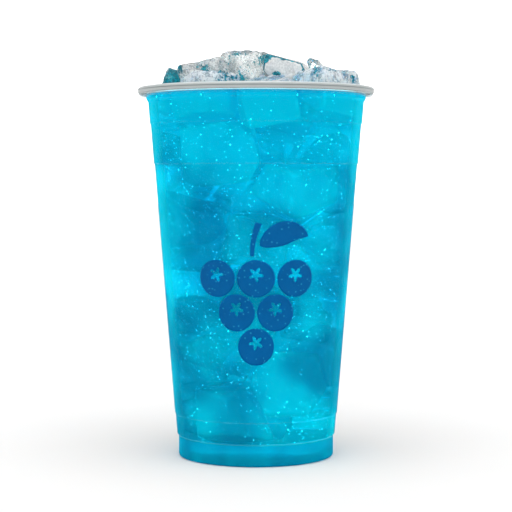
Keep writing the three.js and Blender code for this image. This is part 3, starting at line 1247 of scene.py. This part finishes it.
@dataclass
class IceHeap:
    """The ice that shows above the drink: a floating layer and the blocks that lie on it.

    Attributes:
        cut: how far under the drink's level the finish changes to that of sunken ice.
        top: the height that no point passes.
        stray: how far a floating block strays: round the cup in degrees, outwards and upwards.
        uneven: by what share its sizes differ.
        tilt: the largest turn about its level axes, in degrees.
        spin: the largest turn about its upright one.
        deep: how far under the drink's level the wear starts to be slight.
        wetting: how much of the drink the ice holds at its surface.
        wick: the height over which that fades.
        stain: how much of it the stains hold.
        rim_low: the height from which the edges hold it.
        glaze: how much frost and drink the melt has washed off the tops.
        smoothed: the share of the grain that it has washed off them.
        looks: the looks of the blocks that aren't plain.
        stains: where drink shows in the ice: across, height and width.
    """

    wall: Wall
    cells: int = 64
    cut: float = 0.15
    top: float = 168.35
    stray: tuple[float, float, float] = (7.0, 0.8, 0.8)
    uneven: float = 0.09
    tilt: float = 15.0
    spin: float = 180.0
    deep: float = 2.0
    wetting: float = 0.4
    wick: float = 1.8
    stain: float = 0.65
    rim_low: float = 156.5
    glaze: float = 0.3
    smoothed: float = 0.6
    looks: dict[str, Look] = field(
        default_factory=lambda: {
            "ice_peak": Look(0.6, 1.0, 0.08),
            "ice_slab": Look(1.0, 0.08, 0.0, 1.05),
            "ice_left": Look(0.7, 0.9, 0.06),
            "ice_corner": Look(0.3, 0.6, 0.7),
            "ice_knob": Look(0.4, 0.25, 0.25, 0.8),
        }
    )
    stains: tuple[tuple[float, float, float], ...] = (
        (-11.5, 155.7, 2.6),
        (-6.8, 155.5, 2.4),
        (9.4, 156.6, 2.8),
        (3.3, 164.0, 2.6),
        (-8.5, 166.2, 1.8),
        (33.8, 157.6, 2.4),
        (-30.9, 159.6, 2.2),
        (24.0, 157.6, 2.0),
        (39.0, 156.4, 1.8),
        (29.5, 158.6, 1.6),
        (-20.5, 160.2, 1.8),
        (-14.0, 158.0, 1.6),
    )

    def blocks(self) -> list[Block]:
        """The blocks, by the same rule as the part's own: rings of floating ones, then the crown."""
        made: list[Block] = []
        layers = (
            (8, 31.6, 1.6, 148.2, 1.5, 4.0, (11.2, 11.4, 9.0)),
            (3, 12.5, 0.0, 146.2, 0.0, 70.0, (12.4, 11.8, 9.4)),
        )
        for count, ring, shift, height, swell, start, half in layers:
            for index in range(count):
                piece = len(made) + 1
                turned, moved, lifted = (far * vary(piece, 1 + way) for way, far in enumerate(self.stray))
                angle = math.radians(start + 360 * index / count + turned)
                out = ring + moved
                up = height + swell * math.cos(2 * angle) + lifted
                centre = np.array([shift + out * math.cos(angle), out * math.sin(angle), up])
                size = uneven_sizes(half, self.uneven, piece)
                turn = (-self.tilt * vary(piece, 7), -self.tilt * vary(piece, 8), self.spin * vary(piece, 9))
                made.append(Block(piece, f"ice_floating_{piece:02d}", centre, size, turn))
        crown = (
            ("peak", (-4.2, -3.5, 159.6), (9.2, 9.2, 8.4), (6, 2, 34)),
            ("slab", (15.0, -9.5, 156.6), (13.6, 10.0, 7.2), (4, 15, -6)),
            ("left", (-21.5, -8.0, 155.2), (11.6, 9.8, 7.8), (-6, -16, 10)),
            ("rear_left", (-18.0, 13.5, 155.4), (10.6, 9.6, 7.8), (14, -12, 38)),
            ("rear_right", (9.5, 15.0, 156.2), (11.4, 10.2, 7.4), (-12, 8, -31)),
            ("corner", (-34.2, -5.0, 154.2), (4.4, 5.0, 6.0), (0, 22, 6)),
            ("knob", (23.6, -11.0, 160.6), (3.2, 3.1, 2.9), (20, 30, 40)),
        )
        for name, at, half, turn in crown:
            made.append(Block(len(made) + 1, f"ice_{name}", np.array(at), np.array(half), turn))
        for block in made:
            block.neighbours = made
        return made

    def soak(self, points: Array, look: Look, edge: Array) -> Array:
        """How much of the drink the ice holds at each point.

        Args:
            points: the points.
            look: the block's look.
            edge: how near each point is to an edge.

        Returns:
            Its share: more just above the surface, along broken stretches of the edges, and at a few stains.
        """
        x, y, z = points.T
        broken = 1.8 * cloud(points, 5.0, 7) - 0.7 + np.clip((-y - 12) / 5, 0, 1)
        rim = look.rim * edge * np.clip((z - self.rim_low) / 3, 0, 1) * np.clip(broken, 0, 1)
        total = look.soak + rim + self.wetting * np.exp(-np.maximum(z - self.wall.level, 0) / self.wick)
        front = np.clip((2 - y) / 8, 0.2, 1)
        for across, up, wide in self.stains:
            apart = ((x - across) ** 2 + (z - up) ** 2) / wide**2
            total += self.stain * np.exp(-apart) * front
        return total

    def build(self) -> list[bpy.types.Object]:
        """Makes each block. The faces under the drink's surface have the finish of sunken ice."""
        way, faces = cube_sphere(self.cells)
        wet, sunken = WetIce().material(), SunkenIce().material()
        pieces = []
        for block in self.blocks():
            look = self.looks.get(block.name, Look())
            relief = look.relief(self.wall.level - self.deep, block.piece)
            points = block.surface(way, self.wall, relief)
            points[:, 2] = np.minimum(points[:, 2], self.top)
            shell = Shell()
            shell.add(points, faces)
            under = shell.middles()[:, 2] < self.wall.level - self.cut
            piece = shell.object(block.name + "_clear", wet, sunken, choice=under.astype(int))
            worn = relief(points)
            glazed = np.clip(2.2 * way[:, 2] - 1.0, 0, 1)
            mark(piece, "hollow", (worn - worn.min()) / np.ptp(worn))
            mark(piece, "soak", self.soak(points, look, block.edge(way, 9.0)) - self.glaze * glazed)
            mark(piece, "edge", block.edge(way))
            mark(piece, "milk", np.full(len(points), 1.0))
            mark(piece, "frost", look.frost - self.glaze * glazed)
            mark(piece, "grain", look.grain * (1 - self.smoothed * glazed))
            pieces.append(settle(piece, Slot.ICE, [block.name]))
        return pieces


@dataclass
class SunkBlocks:
    """The ice under the surface: blocks at scattered places from the floor up to the floating ones.

    Attributes:
        floating: the blocks above, which these keep clear of.
        front: the stated blocks close behind the front of the wall: the centre, and how milky each is.
        bottom, top: the heights between which the others' centres lie.
        inset: how far within the wall they stay.
        apart: the least distance between two centres.
        apart_above: the least distance from a floating block's centre.
        uneven: by what share the sizes differ.
        tilt: the largest turn about the level axes, in degrees.
        spin: the largest turn about the upright one.
        steady: the share of both that a stated block makes.
        first: the first block's number.
        wear: the wear of a block, which takes each one's number as its seed.
        tries: how many places are tried.
    """

    wall: Wall
    floating: list[Block]
    front: tuple[tuple[float, float, float, float], ...] = (
        (-10.0, -18.0, 21.0, 0.95),
        (-12.5, -20.0, 43.5, 0.35),
        (12.0, -19.0, 32.0, 0.85),
        (-14.0, -24.0, 127.0, 0.8),
        (15.0, -23.0, 112.0, 0.75),
        (-22.0, -18.0, 98.0, 0.1),
        (23.0, -20.0, 89.0, 0.1),
        (1.0, -25.0, 92.0, 0.6),
        (20.0, -19.0, 63.0, 0.2),
        (24.0, -8.0, 16.0, 0.1),
        (-26.0, -6.0, 22.0, 0.1),
        (-24.0, -16.0, 66.0, 0.25),
    )
    bottom: float = 13.0
    top: float = 136.0
    apart: float = 21.0
    apart_above: float = 18.0
    inset: float = 9.0
    half: tuple[float, float, float] = (15.0, 13.5, 12.0)
    uneven: float = 0.16
    tilt: float = 40.0
    spin: float = 180.0
    steady: float = 0.3
    first: int = 101
    wear: Relief = Relief(bowl=9.0, bowl_depth=0.4, bump_depth=0.1, grain_depth=0.03)
    cells: int = 20
    seed: int = 5
    tries: int = 9000

    def spots(self) -> list[Array]:
        """The blocks' centres: a seeded scatter of points, less those that are too near another.

        The first few lie against the front of the wall, where the largest blocks show.
        """
        draw = np.random.default_rng(self.seed)
        height = draw.uniform(self.bottom, self.top, self.tries)
        out = (self.wall.inside(height) - self.inset) * np.sqrt(draw.uniform(0, 1, self.tries))
        angle = draw.uniform(0, 2 * np.pi, self.tries)
        above = np.array([block.centre for block in self.floating])
        kept = [np.array(spot[:3]) for spot in self.front]
        for spot in np.stack([out * np.cos(angle), out * np.sin(angle), height], axis=-1):
            clear = np.min(np.linalg.norm(above - spot, axis=1)) > self.apart_above
            if clear and np.min(np.linalg.norm(np.array(kept) - spot, axis=1)) > self.apart:
                kept.append(spot)
        return kept

    def blocks(self) -> list[Block]:
        """A block at each spot, all a little uneven."""
        made: list[Block] = []
        crisp = {"spacing": 1.4, "wall_gap": 1.0, "power": 28.0, "melt": 0.02}
        for spot in self.spots():
            piece = self.first + len(made)
            size = uneven_sizes(self.half, self.uneven, piece)
            share = self.steady if len(made) < len(self.front) else 1.0
            tilt, spin = self.tilt * share, self.spin * share
            turn = (tilt * vary(piece, 7), tilt * vary(piece, 8), spin * vary(piece, 9))
            made.append(Block(piece, f"sunken_{piece}", spot, size, turn, **crisp))
        for block in made:
            block.neighbours = [*made, *self.floating]
        return made

    def build(self) -> bpy.types.Object:
        """Makes all of the sunken blocks as one piece. Each is as milky as it's stated, or by chance."""
        way, faces = cube_sphere(self.cells)
        shell = Shell()
        blocks = self.blocks()
        milk = [0.5 + 0.5 * vary(block.piece, 11) for block in blocks]
        milk[: len(self.front)] = [spot[3] for spot in self.front]
        for block in blocks:
            shell.add(block.surface(way, self.wall, replace(self.wear, seed=block.piece)), faces)
        log.info("%d blocks of ice under the surface", len(blocks))
        piece = shell.object("ice_sunken", SunkenIce().material())
        mark(piece, "edge", np.concatenate([block.edge(way) for block in blocks]))
        mark(piece, "milk", np.repeat(milk, len(way)))
        return settle(piece, Slot.ICE)


@dataclass
class Glitter:
    """The shimmer in the drink: flat flakes at scattered places, most of them close behind the wall.

    Attributes:
        low, high: the heights between which they float.
        skin: how far within the wall's outside the first ones are.
        depth: how much further in they are on average.
        deepest: how much further in they are at most.
        least, most: the smallest and the largest half width.
        rarity: how much rarer large ones are than small ones.
        flatness: their thickness as a share of their width.
        swarms: where flakes have gathered: the angle in degrees, the height and the spread in millimetres.
        swarm: how many flakes each such place has.
        arm: the radius that turns such a spread into an angle.
    """

    wall: Wall
    count: int = 7400
    low: float = 6.0
    high: float = 149.0
    skin: float = 0.55
    depth: float = 2.5
    deepest: float = 12.0
    least: float = 0.14
    most: float = 0.38
    rarity: int = 3
    flatness: float = 0.3
    swarms: tuple[tuple[float, float, float], ...] = (
        (-118, 148.0, 1.6),
        (-106, 133.0, 1.8),
        (-124, 129.0, 2.4),
        (-119, 115.0, 1.6),
        (-54, 131.0, 1.8),
        (-64, 112.0, 2.0),
        (-100, 36.0, 2.0),
        (60, 120.0, 2.0),
        (130, 90.0, 2.4),
    )
    swarm: int = 14
    arm: float = 42.0
    seed: int = 11

    def build(self) -> bpy.types.Object:
        """Makes every flake as a flattened octahedron that is turned at random."""
        draw = np.random.default_rng(self.seed)
        height = draw.uniform(self.low, self.high, self.count)
        angle = draw.uniform(0, 2 * np.pi, self.count)
        middle = np.repeat(np.array(self.swarms, float), self.swarm, axis=0)
        gathered = len(middle)
        scatter = draw.normal(size=(gathered, 2)) * middle[:, 2:]
        angle[:gathered] = np.radians(middle[:, 0]) + scatter[:, 0] / self.arm
        height[:gathered] = np.minimum(middle[:, 1] + scatter[:, 1], self.high)
        inwards = draw.exponential(self.depth, self.count).clip(0, self.deepest)
        out = self.wall.outside(height) - self.skin - inwards
        place = np.stack([out * np.cos(angle), out * np.sin(angle), height], axis=-1)
        size = self.least + (self.most - self.least) * draw.uniform(0, 1, self.count) ** self.rarity
        turn = np.linalg.qr(draw.normal(size=(self.count, 3, 3)))[0]
        turn[np.linalg.det(turn) < 0] *= -1
        corners = np.array([[1, 0, 0], [0, 1, 0], [-1, 0, 0], [0, -1, 0], [0, 0, 1], [0, 0, -1]], float)
        corners[:, 2] *= self.flatness
        points = place[:, None] + np.einsum("nij,kj->nki", turn, corners) * size[:, None, None]
        above = [[0, 1, 4], [1, 2, 4], [2, 3, 4], [3, 0, 4]]
        below = [[1, 0, 5], [2, 1, 5], [3, 2, 5], [0, 3, 5]]
        faces = np.array(above + below)[None] + 6 * np.arange(self.count)[:, None, None]
        shell = Shell()
        shell.add(points, faces.reshape(-1, 3))
        return settle(shell.object("glitter", Shimmer().material(), smooth=False), Slot.DRINK)


@dataclass
class BerryPrint:
    """The print on the front: a plain bunch of six round berries with a leaf and a stem, in dark blue ink.

    Attributes:
        centre: the height that the drawing is measured from.
        rows: how many berries each row has, from the top.
        top: how far the top row is above the centre.
        berry: a berry's radius.
        gap: the gap between two berries.
        nest: how far down the next row is, as a share of the distance between two berries.
        ink: how far the ink stands off the wall, and sunk how far its underside is set in.
        crown: the radius of the crown in a berry, the depth of its points as a share of it, and its rise.
        twist: how much further the crown is turned in each next row and berry.
        stem: where the stem starts and ends.
        stem_width: its width at its start, and what is added up to its end.
        leaf: where the leaf starts, its length, its rise and how far round that bends, in radians.
        leaf_width: its width at its ends, and what is added at its widest.
    """

    wall: Wall
    centre: float = 66.0
    rows: tuple[int, ...] = (3, 2, 1)
    top: float = 10.0
    berry: float = 7.4
    gap: float = 0.9
    nest: float = 0.866
    ink: float = 0.05
    sunk: float = 0.01
    crown: tuple[float, float, float] = (2.1, 0.42, 1.6)
    twist: tuple[float, float] = (1.3, 0.8)
    stem: tuple[tuple[float, float], tuple[float, float]] = ((-1.5, 19.0), (1.0, 32.0))
    stem_width: tuple[float, float] = (1.5, 0.9)
    leaf: tuple[float, float, float, float, float] = (1.5, 23.0, 19.0, 5.5, 2.4)
    leaf_width: tuple[float, float] = (0.3, 9.0)

    def hug(self, across: Array, up: Array, lift: float) -> Array:
        """Lays a flat drawing round the wall: across becomes an angle, and up a height.

        Args:
            across: millimetres to the right of the front's middle line.
            up: millimetres above the print's centre.
            lift: how far off the wall it is.

        Returns:
            The points.
        """
        height = self.centre + up
        out = self.wall.outside(height) + lift
        angle = across / self.wall.outside(self.centre) - np.pi / 2
        return np.stack([out * np.cos(angle), out * np.sin(angle), height], axis=-1)

    def add_ring(self, shell: Shell, across: float, up: float, turn: float) -> None:
        """Adds a berry: a disc with a hole in the shape of a five-pointed crown near its top."""
        radius, points, rise = self.crown
        angle = np.linspace(0, 2 * np.pi, 80, endpoint=False)
        share = np.linspace(0, 1, 8)[:, None]
        out = radius * (1 + points * np.cos(5 * angle + turn)) * (1 - share) + self.berry * share
        east = across + out * np.cos(angle)
        north = up + out * np.sin(angle) + rise * (1 - share) ** 2
        under, over = (self.hug(east, north, lift) for lift in (-self.sunk, self.ink))
        shell.add_sheet(np.concatenate([under, over[::-1]]), around=True, along=True)

    def add_strip(self, shell: Shell, spine: Array, width: Array) -> None:
        """Adds a flat strip of ink along a spine, with the width that it has at each of its points."""
        step = np.gradient(spine, axis=0)
        side = np.stack([-step[:, 1], step[:, 0]], axis=-1) / np.linalg.norm(step, axis=1, keepdims=True)
        share = np.linspace(-0.5, 0.5, 9)
        flat = spine[:, None] + side[:, None] * width[:, None, None] * share[None, :, None]
        under, over = (self.hug(flat[..., 0], flat[..., 1], lift) for lift in (-self.sunk, self.ink))
        loop = np.concatenate([under, over[:, ::-1]], axis=1)
        shell.add_tube(loop, loop[0].mean(axis=0), loop[-1].mean(axis=0))

    def build(self) -> bpy.types.Object:
        """Draws the berries, the stem and the leaf."""
        shell = Shell()
        pitch = 2 * self.berry + self.gap
        for row, count in enumerate(self.rows):
            for index in range(count):
                across = (index - (count - 1) / 2) * pitch
                turn = row * self.twist[0] + index * self.twist[1]
                self.add_ring(shell, across, self.top - row * pitch * self.nest, turn)
        along = np.linspace(0, 1, 24)
        (start, low), (end, high) = self.stem
        stem = np.stack([start + (end - start) * along**2, low + (high - low) * along], axis=-1)
        self.add_strip(shell, stem, self.stem_width[0] + self.stem_width[1] * along)
        start, low, length, rise, bend = self.leaf
        leaf = np.stack([start + length * along, low + rise * np.sin(bend * along)], axis=-1)
        swell = np.sin(np.pi * along**0.85) ** 0.8
        self.add_strip(shell, leaf, self.leaf_width[0] + self.leaf_width[1] * swell)
        return settle(shell.object("print_berries", BlueInk().material()), Slot.PLASTIC)


# The studio


@dataclass
class Studio:
    """A pale floor, soft light from all round and above, and the camera.

    Attributes:
        distance: how far in front of the cup the camera is.
        pitch: how far it's tipped down, in degrees.
        focal: its focal length in pixels of a picture of the stated width.
        horizon: how bright the world is up to a little above the horizon.
        drop: how much darker it is overhead.
        dimmed: how much of it glossy surfaces don't mirror.
        overhead: how strong the light above is.
        spread: how wide that light is, in degrees.
        tip: how far forward it is, in degrees.
        floor_drop: how far under the foot the floor is.
        floor_radius: how far it reaches.
        near: the floor's two tints close to the cup, warm against the blue light that the drink throws.
        far: its two tints further off.
        fade: the distances between which the one becomes the other.
        bounces: how often a ray may bounce in all, off matt surfaces, through clear and see-through ones.
    """

    distance: float = 670.0
    camera_height: float = 116.45
    pitch: float = 2.85
    focal: float = 1608.4
    picture: int = 512
    sensor: float = 36.0
    horizon: float = 1.75
    drop: float = 1.35
    dimmed: float = 0.4
    overhead: float = 1.75
    spread: float = 62.0
    tip: float = 18.0
    floor_drop: float = 0.05
    floor_radius: float = 6000.0
    near: tuple[Colour, Colour] = ((0.925, 0.872, 0.835), (0.945, 0.89, 0.853))
    far: tuple[Colour, Colour] = ((0.925, 0.908, 0.896), (0.945, 0.928, 0.916))
    fade: tuple[float, float] = (30.0, 150.0)
    bounces: tuple[int, int, int, int] = (32, 12, 24, 24)

    def camera(self) -> None:
        """Puts the camera in front of the cup, tipped a little down."""
        data = bpy.data.cameras.new("camera")
        data.sensor_width = self.sensor
        data.lens = self.focal / self.picture * self.sensor
        data.clip_start, data.clip_end = 0.01, 100.0
        camera = placed("camera", data)
        camera.location = (0, -self.distance * METRES, self.camera_height * METRES)
        camera.rotation_euler = (math.radians(90 - self.pitch), 0, 0)
        bpy.context.scene.camera = camera

    def floor(self) -> None:
        """Lays a wide round floor just under the foot."""
        recipe = Recipe("studio_floor")
        x, y, patches = recipe.axis("X"), recipe.axis("Y"), recipe.noise(60.0, 1.0)
        away = (x * x + y * y).math("SQRT").between(*self.fade)
        shade = recipe.blend(away, *(recipe.blend(patches, *tints) for tints in (self.near, self.far)))
        surface = recipe.node("BsdfPrincipled", Base_Color=shade, Roughness=0.9)
        shell = Shell()
        radius = np.geomspace(self.floor_radius, 1.0, 40)[:, None]
        angle = np.linspace(0, 2 * np.pi, 96, endpoint=False)
        height = 0 * radius * angle - self.floor_drop
        grid = np.stack([radius * np.cos(angle), radius * np.sin(angle), height], axis=-1)
        shell.add_tube(grid, last_tip=np.array([0.0, 0.0, -self.floor_drop]))
        shell.object("floor", recipe.finish(surface))

    def light(self) -> None:
        """Sets a world that is white at the horizon and dimmer overhead, and one wide soft light above.

        Glossy surfaces mirror a dimmer room, as in a studio where only the backdrop is bright.
        """
        world = bpy.data.worlds.new("studio")
        world.use_nodes = True
        tree = world.node_tree
        tree.nodes.clear()
        output = tree.nodes.new("ShaderNodeOutputWorld")
        back = tree.nodes.new("ShaderNodeBackground")
        where = tree.nodes.new("ShaderNodeTexCoord")
        split = tree.nodes.new("ShaderNodeSeparateXYZ")
        tree.links.new(where.outputs["Generated"], split.inputs[0])
        up = Wire(tree, split.outputs["Z"])
        path = tree.nodes.new("ShaderNodeLightPath")
        mirrored = Wire(tree, path.outputs["Is Glossy Ray"]) * Wire(tree, path.outputs["Is Reflection Ray"])
        strength = (self.horizon - self.drop * up.between(0.2, 0.6)) * (1.0 - self.dimmed * mirrored)
        back.inputs["Color"].default_value = (1.0, 1.0, 1.0, 1.0)
        tree.links.new(strength.socket, back.inputs["Strength"])
        tree.links.new(back.outputs[0], output.inputs["Surface"])
        bpy.context.scene.world = world
        data = bpy.data.lights.new("overhead", "SUN")
        data.angle = math.radians(self.spread)
        data.energy = self.overhead
        placed("overhead", data).rotation_euler = (math.radians(self.tip), 0, 0)

    def build(self) -> None:
        """Sets up the whole studio."""
        bpy.context.scene.view_settings.view_transform = "Standard"
        cycles = bpy.context.scene.cycles
        cycles.max_bounces, cycles.diffuse_bounces = self.bounces[:2]
        cycles.transmission_bounces, cycles.transparent_max_bounces = self.bounces[2:]
        self.camera()
        self.floor()
        self.light()


def main() -> None:
    """Builds every piece in order."""
    logging.basicConfig(level=logging.INFO, format="%(name)s: %(message)s")
    wall = Wall()
    Studio().build()
    cup = ColdCup(wall)
    cup.build()
    Drink(cup).build()
    heap = IceHeap(wall)
    heap.build()
    SunkBlocks(wall, heap.blocks()).build()
    Glitter(wall).build()
    BerryPrint(wall).build()


if __name__ == "__main__":
    main()
